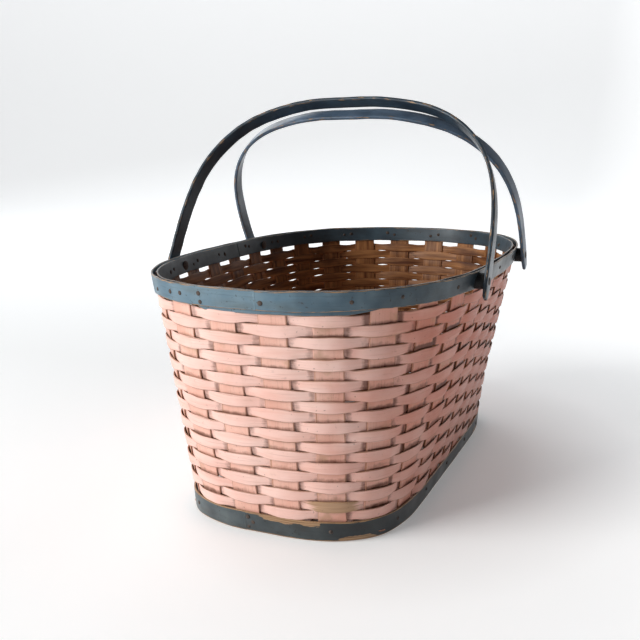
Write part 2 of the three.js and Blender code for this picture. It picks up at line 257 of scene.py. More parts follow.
def outline(size, powers, inset):
    """Closed line |2x/width|^px + |2y/length|^py = 1 from the near end by +X: its x, its y, the share
    of its length run at each point, and its length."""
    angle = np.linspace(-0.5 * np.pi, 1.5 * np.pi, 12001)
    cosine, sine = np.cos(angle), np.sin(angle)
    x = (size[1] / 2 - inset) * np.sign(cosine) * np.abs(cosine) ** (2 / powers[0])
    y = (size[0] / 2 - inset) * np.sign(sine) * np.abs(sine) ** (2 / powers[1])
    run = np.concatenate([[0.0], np.cumsum(np.hypot(np.diff(x), np.diff(y)))])
    return x, y, run / run[-1], run[-1]


base_line = outline(base_size, base_powers, base_inset)
rim_line = outline(rim_size, rim_powers, rim_inset)


def wall(share, z, aside=0.0):
    """Point of the wall surface: the base and rim outlines, taken at one share of their lengths plus a
    distance aside in metres, and mixed in proportion to the height."""
    share, z, aside = np.broadcast_arrays(*(np.asarray(value, float) for value in (share, z, aside)))
    mix = z / body_height
    at_base = np.mod(share + aside / base_line[3], 1.0)
    at_rim = np.mod(share + aside / rim_line[3], 1.0)
    base_x, base_y = (np.interp(at_base, base_line[2], base_line[k]) for k in range(2))
    rim_x, rim_y = (np.interp(at_rim, rim_line[2], rim_line[k]) for k in range(2))
    return np.stack([base_x * (1 - mix) + rim_x * mix, base_y * (1 - mix) + rim_y * mix, z], -1)


def unit(vectors):
    """Vectors scaled to length one."""
    return vectors / np.maximum(np.linalg.norm(vectors, axis=-1, keepdims=True), 1e-12)


def wall_axes(share, z):
    """Unit vectors round the wall, up the wall and out of it, from differences of nearby points."""
    reach = 0.0015
    rise_step = 0.001
    along = unit(wall(share + reach, z) - wall(share - reach, z))
    rise = wall(share, z + rise_step) - wall(share, z - rise_step)
    rise = unit(rise - along * (rise * along).sum(-1, keepdims=True))
    return along, rise, np.cross(along, rise)


def waver(share, seed, low, high, size):
    """Line that wavers about nought: sines of whole frequencies with chance phases and weights, scaled so
    that its spread is the size."""
    chance = np.random.default_rng(seed)
    waves = np.arange(low, high + 1)
    phase = chance.uniform(0, 2 * np.pi, len(waves))
    weight = chance.normal(0, 1, len(waves))
    weight *= size / max(np.sqrt((weight ** 2).sum() / 2), 1e-9)
    return (weight * np.sin(2 * np.pi * np.multiply.outer(np.asarray(share, float), waves) + phase)).sum(-1)


def smooth(values, times):
    """Values averaged with their neighbours a number of times, with the ends kept."""
    values = np.array(values, float)
    for _ in range(times):
        values[1:-1] = 0.25 * values[:-2] + 0.5 * values[1:-1] + 0.25 * values[2:]
    return values


def strip_section(face_points, edge_points):
    """Outline of a flat strip, as lists: place across from -1 to 1, how far round the edge from 0 to 1,
    side from -1 inside to 1 outside, and nearness to the arris from 0 to 1."""
    face = np.sin(np.linspace(-0.5 * np.pi, 0.5 * np.pi, face_points))
    turn = np.linspace(0.5 * np.pi, -0.5 * np.pi, edge_points + 2)[1:-1]
    flat = np.zeros(face_points)
    round_out = np.abs(np.cos(turn)) ** 0.7
    round_side = np.sign(np.sin(turn)) * np.abs(np.sin(turn)) ** 0.7
    across = np.concatenate([face, np.ones(edge_points), face[::-1], -np.ones(edge_points)])
    edge = np.concatenate([flat, round_out, flat, round_out])
    side = np.concatenate([flat + 1, round_side, flat - 1, -round_side])
    near = np.abs(face) ** 8
    arris = np.concatenate([near, np.ones(edge_points), near, np.ones(edge_points)])
    return across, edge, side, arris


def skin(name, grid, closed, run, girth, marks):
    """Mesh through a grid of rings: quads between rings and a flat cap on each open end, facing out. Its
    UV map holds metres along and metres round; marks are point attributes."""
    rings, around = grid.shape[:2]
    ring, point = np.meshgrid(np.arange(rings if closed else rings - 1), np.arange(around), indexing="ij")
    after = (point + 1) % around
    corners = np.stack([
        ring * around + point,
        (ring + 1) % rings * around + point,
        (ring + 1) % rings * around + after,
        ring * around + after,
    ], -1).reshape(-1, 4)
    u = np.stack([ring, ring + 1, ring + 1, ring], -1).reshape(-1, 4)
    v = np.stack([point, point, point + 1, point + 1], -1).reshape(-1, 4)
    flat = grid.reshape(-1, 3)
    a, b, c, d = (flat[corners[:, k]] for k in range(4))
    volume = (a * np.cross(b, c)).sum() + (a * np.cross(c, d)).sum()
    first = np.arange(around)[::-1]
    last = (rings - 1) * around + np.arange(around)
    if volume < 0:
        corners, u, v, first, last = corners[:, ::-1], u[:, ::-1], v[:, ::-1], first[::-1], last[::-1]
    far_run = np.concatenate([run, [2 * run[-1] - run[-2]]])
    uv = np.stack([far_run[u], np.linspace(0.0, girth, around + 1)[v]], -1).reshape(-1, 2)
    faces = corners.tolist()
    if not closed:
        faces += [first.tolist(), last.tolist()]
        cap = np.stack([np.full(around, run[0]), np.linspace(0.0, girth, around)], -1)
        uv = np.concatenate([uv, cap, cap])
    mesh = bpy.data.meshes.new(name)
    mesh.from_pydata(flat.tolist(), [], faces)
    mesh.polygons.foreach_set("use_smooth", np.ones(len(faces), bool))
    mesh.uv_layers.new(name="strip").data.foreach_set("uv", uv.astype(np.float32).ravel())
    for mark, values in marks.items():
        spots = mesh.attributes.new(mark, "FLOAT", "POINT")
        spots.data.foreach_set("value", np.broadcast_to(values, (rings, around)).astype(np.float32).ravel())
    piece = bpy.data.objects.new(name, mesh)
    scene.collection.objects.link(piece)
    return piece


def ribbon(name, centre, across, half_width, half_thick, closed, section, shift, marks, crown=0.1):
    """Flat strip along a line of centres: each ring is a soft-edged section, wide in the across direction
    and thick in the direction square to it and to the line. Shift moves its grain along."""
    travel = np.gradient(centre, axis=0)
    if closed:
        travel = np.roll(centre, -1, axis=0) - np.roll(centre, 1, axis=0)
    out = unit(np.cross(unit(travel), across))
    place, edge, side, arris = section
    soft = 0.8 * half_thick
    low, high = half_width
    reach = place * np.where(place < 0, low[:, None] - soft[:, None], high[:, None] - soft[:, None])
    reach = reach + np.sign(place) * soft[:, None] * edge
    depth = side * half_thick[:, None] * (1 - crown * place ** 2)
    grid = centre[:, None] + across[:, None] * reach[..., None] + out[:, None] * depth[..., None]
    run = np.concatenate([[0.0], np.cumsum(np.linalg.norm(np.diff(centre, axis=0), axis=1))]) + shift
    girth = 4 * (low.mean() + half_thick.mean())
    plain = {"outside": side, "arris": arris, "soil_and_shade": 0.0, "bare": 0.0}
    return skin(name, grid, closed, run, girth, plain | marks)


def upright_share(upright):
    """Share of the way round at the middle of an upright, counted from the near end by +X."""
    return (upright + 0.5) / upright_count


def splint_wall(upright):
    """Two edges of a splint down one wall, with its mark of dirt and painted shade: in and out a little with
    the rows, and darkened just above each row that covers it."""
    z = np.linspace(splint_top, bend_height, wall_points)
    share = upright_share(upright)
    rows = (z - weave_low) / row_pitch
    inside = np.clip(rows, 0, 1) * np.clip((weave_high - z) / row_pitch, 0, 1)
    sway = splint_give * (-1) ** upright * np.cos(np.pi * (rows + 0.5)) * inside
    out = wall_axes(share, z)[2]
    edge_wave = [waver(z / body_height, 40 * upright + k, 2, 9, 0.00018) for k in range(2)]
    edges = [
        wall(share, z, side * splint_width / 2 + wave) + out * sway[:, None]
        for side, wave in zip((-1, 1), edge_wave)
    ]
    # Dirt with painted shade, just above each row that covers the splint.
    under = np.cos(np.pi * (rows + 0.5 + upright) + 0.34 * np.pi)
    soil_and_shade = np.clip(under, 0, 1) ** 2 * inside
    chance = 0.55 + waver(z / body_height, 900 + upright, 3, 12, 0.45)
    return edges, soil_and_shade * np.clip(chance, 0, 1.4)


def bend_under(start, heading, finish, finish_heading, reach):
    """Cubic curve between an edge point on the wall and one on the floor, with both headings kept."""
    t = np.linspace(0, 1, 16)[1:-1, None]
    first = start + heading * reach
    second = finish - finish_heading * reach
    outer = (1 - t) ** 3 * start + 3 * (1 - t) ** 2 * t * first
    return outer + 3 * (1 - t) * t ** 2 * second + t ** 3 * finish


side_uprights = [lengthwise_count // 2 + k for k in range(crosswise_count)]
side_feet = np.array([
    [wall(upright_share(k), floor_height, side * splint_width / 2) for side in (-1, 1)]
    for k in side_uprights
])
crosswise_y = side_feet[:, :, 1].mean(axis=1)
floor_half_width = side_feet[:, :, 0].min() - foot_clearance
lengthwise_pitch = (2 * floor_half_width - splint_width) / (lengthwise_count - 1)
lengthwise_x = (np.arange(lengthwise_count) - (lengthwise_count - 1) / 2) * lengthwise_pitch


def floor_wave(place, crossings, levels):
    """Height along the floor: level over each crossing splint, sloping evenly between, and rounded."""
    flat_half = 0.007
    knots = np.stack([crossings - flat_half, crossings + flat_half], 1).ravel()
    return smooth(np.interp(place, knots, np.repeat(levels, 2)), 6)


def make_splint(name, uprights, axis, middle, crossings, levels, seed):
    """Whole splint: down one wall, under, along the floor and up the other wall, as one ribbon."""
    (low_wall, low_soil_and_shade), (high_wall, high_soil_and_shade) = splint_wall(uprights[0]), splint_wall(uprights[1])
    high_wall = high_wall[::-1]
    lead = np.zeros(3)
    lead[axis] = 1.0
    handed = -1 if axis == 1 else 1
    edges = []
    for side in range(2):
        down, up = low_wall[side], high_wall[side][::-1]
        start, end = down[-1][axis] + bend_reach, up[0][axis] - bend_reach
        place = np.linspace(start, end, floor_points)
        line = np.zeros((floor_points, 3))
        line[:, axis] = place
        line[:, 1 - axis] = middle + handed * (2 * side - 1) * (splint_width / 2)
        line[:, 2] = floor_height + floor_wave(place, crossings, levels)
        first = bend_under(down[-1], unit(down[-1] - down[-2]), line[0], lead, bend_pull)
        second = bend_under(line[-1], lead, up[0], unit(up[1] - up[0]), bend_pull)
        edges.append(np.concatenate([down, first, line, second, up]))
    count = len(edges[0])
    soil_and_shade = np.concatenate([low_soil_and_shade, np.zeros(count - 2 * len(low_soil_and_shade)), high_soil_and_shade[::-1]])
    centre = (edges[0] + edges[1]) / 2
    gap = edges[1] - edges[0]
    half = np.linalg.norm(gap, axis=1) / 2
    half_thick = np.full(count, splint_thick / 2)
    return ribbon(name, centre, unit(gap), (half, half), half_thick, False, strip_section(9, 3), 2.3 * seed,
                  {"soil_and_shade": soil_and_shade[:, None]}, crown=0.05)


def grain_texture(tree, along, across, detail=3.0):
    """Noise stretched along a strip: low frequency along it, high frequency round it."""
    flow = node(tree, "UVMap", uv_map="strip")
    stretch = node(tree, "Mapping", {"Vector": flow.outputs["UV"], "Scale": (along, across, 1.0)})
    noise = {"Vector": stretch.outputs["Vector"], "Scale": 1.0, "Detail": detail}
    return node(tree, "TexNoise", noise).outputs["Fac"]


def blotch_texture(tree, scale, detail=4.0):
    """Noise in the object's own space, the same in every direction."""
    place = node(tree, "TexCoord")
    noise = {"Vector": place.outputs["Object"], "Scale": scale, "Detail": detail}
    return node(tree, "TexNoise", noise).outputs["Fac"]


def mark_on(tree, name):
    """Value of a point attribute."""
    return node(tree, "Attribute", attribute_name=name).outputs["Fac"]


oak_light = tint(0.72, 0.50, 0.32)
oak_dark = tint(0.37, 0.21, 0.12)
rubbed_brown = tint(0.58, 0.41, 0.31)
# Dark brown for dirt and specks, also used as painted shade where strips tuck under each other.
grime_shade_brown = tint(0.34, 0.175, 0.095)


def washed_splint(name, pale, deep, bareness):
    """Thin chalky paint over split oak: streaks along the grain, cloudy fading, a darker tone toward +X that
    is painted shade on the side away from the windows, dirt with painted shade where the strip is tucked
    under another, paint worn off the arrises and flaked off at bare marks, and unpainted brown oak on the
    inside."""
    finish, tree, shader = new_finish(name, 0.68, 0.3)
    fine = grain_texture(tree, 30.0, 1500.0)
    broad = grain_texture(tree, 14.0, 260.0)
    cloud = blotch_texture(tree, 24.0)
    speck = blotch_texture(tree, 420.0, 2.0)
    arris = mark_on(tree, "arris")
    paint = layer(tree, between(tree, cloud, 0.35, 0.65), pale, deep)
    # Painted shade: the paint darkens toward +X, the side away from the windows, where the dark marks also
    # grow stronger.
    place = node(tree, "SeparateXYZ", {"Vector": node(tree, "TexCoord").outputs["Object"]})
    plus_x_shade = between(tree, plus(tree, place.outputs["X"], times(tree, cloud, 0.08)), 0.10, 0.19)
    paint = layer(tree, times(tree, plus_x_shade, 0.85), paint, tint(0.74, 0.39, 0.285))
    paint = layer(tree, times(tree, between(tree, broad, 0.48, 0.75), 0.45), paint, tint(0.88, 0.64, 0.56))
    paint = layer(tree, times(tree, between(tree, fine, 0.56, 0.80), 0.40), paint, tint(0.66, 0.46, 0.38))
    worn = between(tree, plus(tree, times(tree, arris, 0.42), broad), 0.80, 0.96)
    paint = layer(tree, times(tree, worn, 0.75), paint, rubbed_brown)
    thin = between(tree, blotch_texture(tree, 55.0, 3.0), 0.58, 0.74)
    paint = layer(tree, times(tree, thin, bareness), paint, tint(0.68, 0.53, 0.40))
    # Dirt with painted shade: where a strip is tucked under another, stronger toward +X, plus random smudges,
    # the paint goes dark brown.
    smudge = plus(tree, times(tree, blotch_texture(tree, 170.0, 4.0), 0.8), times(tree, fine, 0.25))
    soil_shade_strength = times(tree, mark_on(tree, "soil_and_shade"), plus(tree, times(tree, plus_x_shade, 0.35), 0.5))
    grime_shade_mask = between(tree, plus(tree, soil_shade_strength, smudge), 0.66, 1.10)
    paint = layer(tree, times(tree, grime_shade_mask, plus(tree, times(tree, plus_x_shade, 0.25), 0.65)), paint, grime_shade_brown)
    ragged = times(tree, plus(tree, broad, fine), 0.7)
    flaked = between(tree, plus(tree, mark_on(tree, "bare"), ragged), 1.02, 1.28)
    under_paint = layer(tree, fine, tint(0.76, 0.62, 0.48), tint(0.55, 0.42, 0.30))
    paint = layer(tree, times(tree, flaked, 0.9), paint, under_paint)
    spots = between(tree, speck, 0.70, 0.76)
    paint = layer(tree, times(tree, spots, 0.45), paint, grime_shade_brown)
    wood = layer(tree, between(tree, broad, 0.35, 0.68), oak_light, oak_dark)
    wood = layer(tree, times(tree, between(tree, fine, 0.5, 0.75), 0.5), wood, tint(0.22, 0.13, 0.08))
    wood = layer(tree, times(tree, between(tree, cloud, 0.54, 0.68), 0.6), wood, tint(0.30, 0.17, 0.11))
    outside = between(tree, plus(tree, mark_on(tree, "outside"), times(tree, broad, -0.5)), -0.5, -0.1)
    colour = layer(tree, outside, wood, paint)
    tree.links.new(colour, shader.inputs["Base Color"])
    relief = plus(tree, fine, times(tree, worn, -0.6))
    bump = node(tree, "Bump", {"Height": relief, "Strength": 0.22, "Distance": 0.0004})
    tree.links.new(bump.outputs["Normal"], shader.inputs["Normal"])
    tree.links.new(between(tree, fine, -0.6, 1.9), shader.inputs["Roughness"])
    return finish


splint_finish = washed_splint(
    "washed_pink_splint", pale=tint(0.92, 0.73, 0.665), deep=tint(0.88, 0.665, 0.595), bareness=0.55,
)


def place_splint(piece, name):
    """A woven strip stays with the basket and stands for its own CAD node."""
    piece.data.materials.append(splint_finish)
    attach(piece, "basket")
    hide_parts(name)


for k in range(lengthwise_count):
    near = (k - lengthwise_count // 2) % upright_count
    far = (upright_count // 2 - 1 - near) % upright_count
    over = np.array([-1.0 if (k + c) % 2 == 0 else 1.0 for c in range(crosswise_count)]) * floor_step
    name = f"lengthwise_splint_{k + 1}"
    piece = make_splint(name, (near, far), 1, lengthwise_x[k], crosswise_y, over, k)
    place_splint(piece, name)

for c in range(crosswise_count):
    right = side_uprights[c]
    left = upright_count - 1 - right
    over = np.array([1.0 if (k + c) % 2 == 0 else -1.0 for k in range(lengthwise_count)]) * floor_step
    name = f"crosswise_splint_{c + 1}"
    piece = make_splint(name, (left, right), 0, crosswise_y[c], lengthwise_x, over, 10 + c)
    place_splint(piece, name)

# ---- Base band ----
# A stout bent strip nailed round the foot of the uprights, its ends lapped on the near end, left of the
# middle. Blue paint, chipped to bare wood along both edges where it is set down and scraped, and darkened
# toward +X as painted shade with some dirt.

band_height = 0.0196
band_thick = 0.002
band_middle = 0.0021
band_lap = 0.951
hoop_points = 760
hoop_section = strip_section(9, 5)


def hoop_strip(name, low, high, offset, thick, start, lap, seed, section, flare=0.0, scrapes=()):
    """Hoop of bent strip between two heights, held off the wall by an offset. It runs all the way round
    and a lap further; each end is shaved to half its thickness where the two lie on each other. Scrapes
    are bare places: share of the way round, half length as a share, and edge, 1 above or -1 below."""
    share = start + np.linspace(0.0, 1.0 + lap, hoop_points)
    into = np.clip((share - start) / lap, 0, 1)
    out_of = np.clip((share - start - 1.0) / lap, 0, 1)
    shaved = 0.55
    half_thick = thick / 2 * (1 - (1 - shaved) * (1 - into) - (1 - shaved) * out_of)
    slide = thick / 2 * shaved * (out_of - (1 - into))
    low_edge = low + waver(share, seed, 4, 26, 0.00022)
    high_edge = high + waver(share, seed + 1, 4, 26, 0.00022)
    middle = (low_edge + high_edge) / 2
    out = wall_axes(share, middle)[2]
    level_out = unit(out * np.array([1.0, 1.0, 0.0]))
    bottom = wall(share, low_edge) + level_out * (offset + slide + flare)[:, None]
    top = wall(share, high_edge) + level_out * (offset + slide)[:, None]
    centre = (bottom + top) / 2
    half = np.linalg.norm(top - bottom, axis=1) / 2
    bare = np.zeros((len(share), len(section[0])))
    for spot, reach, edge in scrapes:
        nearness = np.exp(-((np.mod(share - spot + 0.5, 1.0) - 0.5) / reach) ** 4)
        bare = np.maximum(bare, nearness[:, None] * np.clip((edge * section[0] - 0.1) / 0.7, 0, 1))
    return ribbon(name, centre, unit(top - bottom), (half, half), half_thick, False, section, 1.7 * seed,
                  {"bare": bare})


def milk_paint(name, pale, deep, shade, chips, roughness, side_shade_and_dirt, side_shade_start):
    """Old blue paint on bent ash: cloudy, thin on the arrises where tan wood shows, with dark scuffs and
    a low uneven gloss. More chips leave more bare wood along the edges. Past a place on the side of
    greater X the paint is darkened by a given share, as painted shade on the side away from the windows
    with some dirt."""
    finish, tree, shader = new_finish(name, roughness, 0.4)
    fine = grain_texture(tree, 26.0, 1100.0)
    broad = grain_texture(tree, 22.0, 160.0)
    ragged = grain_texture(tree, 90.0, 420.0, 5.0)
    cloud = blotch_texture(tree, 30.0)
    speck = blotch_texture(tree, 330.0, 3.0)
    arris = mark_on(tree, "arris")
    paint = layer(tree, between(tree, cloud, 0.36, 0.64), pale, deep)
    paint = layer(tree, times(tree, between(tree, broad, 0.50, 0.72), 0.5), paint, shade)
    paint = layer(tree, times(tree, between(tree, fine, 0.55, 0.8), 0.35), paint, tint(0.16, 0.19, 0.21))
    paint = layer(tree, times(tree, between(tree, speck, 0.64, 0.72), 0.6), paint, tint(0.20, 0.15, 0.12))
    # Painted shade with some dirt: darker past a place on the side of greater X, away from the windows.
    place = node(tree, "SeparateXYZ", {"Vector": node(tree, "TexCoord").outputs["Object"]})
    cloudy_x = plus(tree, place.outputs["X"], times(tree, cloud, 0.08))
    side_shade_and_dirt_mask = between(tree, cloudy_x, side_shade_start, side_shade_start + 0.12)
    paint = layer(tree, times(tree, side_shade_and_dirt_mask, side_shade_and_dirt), paint, tint(0.12, 0.125, 0.13))
    edge = plus(tree, times(tree, arris, 0.62), times(tree, ragged, 0.75))
    worn = between(tree, edge, 0.98 - chips, 1.02 - chips)
    edge_line = between(tree, edge, 0.90 - chips, 0.98 - chips)
    paint = layer(tree, times(tree, edge_line, 0.5), paint, tint(0.20, 0.22, 0.22))
    bare = layer(tree, between(tree, fine, 0.4, 0.7), tint(0.66, 0.53, 0.40), tint(0.45, 0.33, 0.23))
    scraped = between(tree, plus(tree, mark_on(tree, "bare"), times(tree, ragged, 1.1)), 1.12, 1.2)
    bared = node(tree, "Math", {0: worn, 1: scraped}, operation="MAXIMUM").outputs["Value"]
    tree.links.new(layer(tree, bared, paint, bare), shader.inputs["Base Color"])
    relief = plus(tree, times(tree, fine, 0.7), times(tree, bared, -0.5))
    bump = node(tree, "Bump", {"Height": relief, "Strength": 0.25, "Distance": 0.0004})
    tree.links.new(bump.outputs["Normal"], shader.inputs["Normal"])
    tree.links.new(between(tree, cloud, -roughness, 2.0), shader.inputs["Roughness"])
    return finish


band_finish = milk_paint(
    "scraped_blue_band", pale=tint(0.37, 0.41, 0.42), deep=tint(0.27, 0.31, 0.33),
    shade=tint(0.30, 0.25, 0.21), chips=0.10, roughness=0.5, side_shade_and_dirt=0.72, side_shade_start=-0.03,
)
scraped_places = ((0.012, 0.022, 1), (0.036, 0.010, 1), (0.073, 0.018, -1), (0.6, 0.02, 1), (0.36, 0.015, -1))
base_band = hoop_strip("base_band", 0.0008, band_height, band_middle, band_thick, band_lap, 0.03, 11,
                       hoop_section, flare=0.0012, scrapes=scraped_places)
base_band.data.materials.append(band_finish)
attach(base_band, "basket")
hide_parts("base_band")

# ---- Weaver rows ----
# Twenty narrow strips of the same oak. Each goes once round, over one upright and behind the next, and
# its thinned ends lie on each other behind an upright. The rows are beaten down until they press together.

weaver_thick = 0.0014
weaver_swing = 0.00185
weaver_lap = 2.0 / upright_count
weaver_thinned = 0.55
weaver_points = 700
weaver_section = strip_section(9, 3)
row_step_round = 11
pinched_width = 0.978
spread_width = 0.222
widest_gap = 0.13
top_lift = 0.0022
bare_row = 2
bare_spot = 0.0555
bare_reach = 0.019


def weaver_sway(share, row):
    """In and out of the uprights, from -1 inside to 1 outside: a cosine of one half wave for each upright,
    squared off a little over them."""
    wave = -np.cos(np.pi * (upright_count * share - 0.5 + row))
    return wave * (1.35 - 0.35 * wave ** 2)


def weaver_row(row):
    """One row: an open ribbon that follows the wall, widest over an upright and pinched between two, by a
    power of its sway. The top rows ride up at the near end and stand a little apart round the far -X
    corner."""
    start = (row * row_step_round % upright_count + 1.0) / upright_count
    share = start + np.linspace(0.0, 1.0 + weaver_lap, weaver_points)
    middle = weave_low + (row - 0.5) * row_pitch
    slack = np.sin(np.pi * np.clip((middle - weave_low) / (weave_high - weave_low), 0.02, 0.98)) ** 0.5
    lifted = top_lift * (row / row_count) ** 3 * np.exp(-((np.mod(share + 0.56, 1.0) - 0.5) / 0.13) ** 2)
    z = middle + lifted + slack * waver(share, 5, 1, 6, 0.0006) + waver(share, 100 + row, 9, 34, 0.00014)
    along, rise, out = wall_axes(share, z)
    into = np.clip((share - start) / weaver_lap, 0, 1)
    out_of = np.clip((share - start - 1.0) / weaver_lap, 0, 1)
    half_thick = weaver_thick / 2 * (1 - weaver_thinned * (1 - into) - weaver_thinned * out_of)
    slide = weaver_thick * 0.25 * (out_of - (1 - into))
    sway = weaver_sway(share, row)
    lift = sway * weaver_swing * (1 + waver(share, 300 + row, 5, 20, 0.07)) + slide
    loose_side = (0.5 - 0.5 * np.cos(2 * np.pi * (share - 0.15))) ** 2 * np.clip(row / 6 - 1.8, 0, 1)
    light_gap = widest_gap * loose_side * np.clip(waver(share, 1500 + row, 3, 12, 0.9), 0, 1)
    width_share = pinched_width + spread_width * np.abs(sway) ** 1.45 - light_gap * (1 - np.abs(sway) ** 3)
    half = row_pitch / 2 * width_share
    pinch = [row_pitch / 2 * waver(share, seed + row, 20, 70, 0.018) for seed in (500, 700)]
    narrow = 0.9 if row == row_count else 1.0
    centre = wall(share, z) + out * lift[:, None]
    across = unit(rise + out * waver(share, 900 + row, 7, 30, 0.035)[:, None])
    # Dirt with painted shade where the row turns in behind an upright.
    tuck = np.clip(1 - np.abs(sway + 0.62) / 0.42, 0, 1) * (0.7 + waver(share, 1100 + row, 6, 40, 0.35))
    chipped = np.exp(-((np.mod(share, 1.0) - bare_spot) / bare_reach) ** 2) if row == bare_row else 0 * share
    marks = {"soil_and_shade": np.clip(tuck, 0, 1)[:, None], "bare": chipped[:, None]}
    halves = (half + pinch[0], half * narrow + pinch[1])
    return ribbon(f"weaver_row_{row:02d}", centre, across, halves, half_thick, False, weaver_section,
                  3.1 * row, marks, crown=0.22)


weaver_finish = washed_splint(
    "washed_pink_weaver", pale=tint(0.945, 0.79, 0.745), deep=tint(0.925, 0.74, 0.69), bareness=0.12,
)

for row in range(1, row_count + 1):
    piece = weaver_row(row)
    piece.data.materials.append(weaver_finish)
    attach(piece, "basket")
    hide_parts(f"weaver_row_{row:02d}")

# ---- Rim hoops and splice ----
# Two bent hoops clamp the tops of the uprights between them. A short thin splice of wood under the outer
# hoop packs it out at the near end, and its lower edge shows as a lip.

hoop_low = body_height - 0.0175
hoop_thick = 0.0018
outer_middle = 0.00325
inner_middle = -0.0020
seam_share = 0.9640

# The outer hoop's blue darkens toward +X as painted shade with some dirt.
outer_finish = milk_paint(
    "milk_blue_hoop", pale=tint(0.42, 0.51, 0.56), deep=tint(0.32, 0.425, 0.49),
    shade=tint(0.34, 0.37, 0.37), chips=0.01, roughness=0.42, side_shade_and_dirt=0.85, side_shade_start=0.08,
)
# Painted shade: the inner hoop is a darker copy of the hoop blue, for the shade inside the rim.
shaded_inner_finish = milk_paint(
    "dull_shaded_blue_inner_hoop", pale=tint(0.28, 0.34, 0.38), deep=tint(0.20, 0.25, 0.29),
    shade=tint(0.20, 0.20, 0.20), chips=-0.03, roughness=0.5, side_shade_and_dirt=0.0, side_shade_start=0.0,
)

outer_top = body_height - 0.0003
inner_top = body_height - 0.0008
inner_seam_share = 0.725
outer_lap = 0.045
inner_lap = 0.04
outer_hoop = hoop_strip("outer_rim_hoop", hoop_low, outer_top, outer_middle, hoop_thick, seam_share,
                        outer_lap, 21, hoop_section)
outer_hoop.data.materials.append(outer_finish)
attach(outer_hoop, "basket")
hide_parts("outer_rim_hoop")

inner_hoop = hoop_strip("inner_rim_hoop", hoop_low, inner_top, inner_middle, hoop_thick, inner_seam_share,
                        inner_lap, 31, hoop_section)
inner_hoop.data.materials.append(shaded_inner_finish)
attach(inner_hoop, "basket")
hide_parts("inner_rim_hoop")


def rim_splice():
    """Thin open strip behind the outer hoop along the near end, its ends shaved to nothing."""
    points = 120
    share = np.linspace(seam_share, 1.0 + 2.45 / upright_count, points)
    fade = np.clip(np.minimum((share - share[0]) / 0.006, (share[-1] - share) / 0.022), 0, 1)
    low = hoop_low + 0.001 - 0.0047 * fade ** 0.6 + waver(share, 61, 8, 40, 0.00015)
    high = np.full(points, body_height - 0.003)
    out = unit(wall_axes(share, (low + high) / 2)[2] * np.array([1.0, 1.0, 0.0]))
    away = 0.00165
    bottom, top = wall(share, low) + out * away, wall(share, high) + out * away
    half = np.linalg.norm(top - bottom, axis=1) / 2
    taper = np.clip(np.minimum(np.arange(points), np.arange(points)[::-1]) / 8, 0.35, 1)
    half_thick = 0.00045 * taper
    return ribbon("rim_splice", (bottom + top) / 2, unit(top - bottom), (half, half), half_thick, False,
                  strip_section(7, 3), 9.0, {})


splice = rim_splice()
splice.data.materials.append(outer_finish)
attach(splice, "basket")
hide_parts("rim_splice")

# ---- Nails ----
# Small clinched iron nails hold the hoops and the base band to the uprights. Their heads stand a little
# proud and have rusted brown through the paint.

nail_radius = 0.0019
nail_proud = 0.0007


def nail_heads(name, places, normals, radii):
    """Low domes, one for each place: rings of a circle that shrink as they rise, with a centre point, laid
    on the surface and tipped to its normal, and sunk a little into it."""
    around = 12
    turn = np.linspace(0, 2 * np.pi, around, endpoint=False)
    ring_radius = np.array([1.0, 1.0, 0.82, 0.45])
    ring_height = np.array([-0.7, 0.25, 0.75, 1.0])
    side = unit(np.cross(normals, [0.0, 0.0, 1.0]))
    up = np.cross(side, normals)
    circle = np.cos(turn)[None, :, None] * side[:, None] + np.sin(turn)[None, :, None] * up[:, None]
    rings = places[:, None, None] + circle[:, None] * (radii[:, None] * ring_radius)[:, :, None, None]
    rings = rings + normals[:, None, None] * (nail_proud * ring_height)[None, :, None, None]
    tops = places + normals * nail_proud * 1.04
    bottoms = places - normals * nail_proud * 0.7
    block = np.concatenate([rings.reshape(len(places), -1, 3), tops[:, None], bottoms[:, None]], 1)
    ring, spot = np.meshgrid(np.arange(3), np.arange(around), indexing="ij")
    after = (spot + 1) % around
    quads = np.stack([ring * around + spot, ring * around + after, (ring + 1) * around + after,
                      (ring + 1) * around + spot], -1).reshape(-1, 4)
    spot = np.arange(around)
    after = (spot + 1) % around
    caps = np.stack([3 * around + spot, 3 * around + after, np.full(around, 4 * around)], -1)
    feet = np.stack([after, spot, np.full(around, 4 * around + 1)], -1)
    a, b, c = block[0][caps[0]]
    inward = np.dot(np.cross(b - a, c - a), normals[0]) < 0
    faces = []
    for k in range(len(places)):
        shift = k * block.shape[1]
        own = [face for part in (quads, caps, feet) for face in (part + shift).tolist()]
        faces += [face[::-1] if inward else face for face in own]
    mesh = bpy.data.meshes.new(name)
    mesh.from_pydata(block.reshape(-1, 3).tolist(), [], faces)
    mesh.polygons.foreach_set("use_smooth", np.ones(len(faces), bool))
    piece = bpy.data.objects.new(name, mesh)
    scene.collection.objects.link(piece)
    return piece


def hoop_spots(share, z, offset, facing):
    """Places and normals on a hoop face, at shares of the way round and heights."""
    out = unit(wall_axes(share, z)[2] * np.array([1.0, 1.0, 0.0]))
    return wall(share, z) + out * offset, out * facing


nail_luck = np.random.default_rng(77)
rim_nails = 22
rim_share = seam_share + 0.0045 + np.arange(rim_nails) / rim_nails + nail_luck.normal(0, 0.003, rim_nails)
rim_share[0] = seam_share + 0.0045
rim_share = np.concatenate([rim_share, [seam_share + 0.0050, seam_share - 0.0125, seam_share - 0.0235]])
rim_z = body_height - 0.0085 + nail_luck.normal(0, 0.0016, len(rim_share))
rim_z[0] = body_height - 0.0065
rim_z[rim_nails] = body_height - 0.0140
outer_places, outer_normals = hoop_spots(rim_share, rim_z, outer_middle + hoop_thick / 2, 1.0)

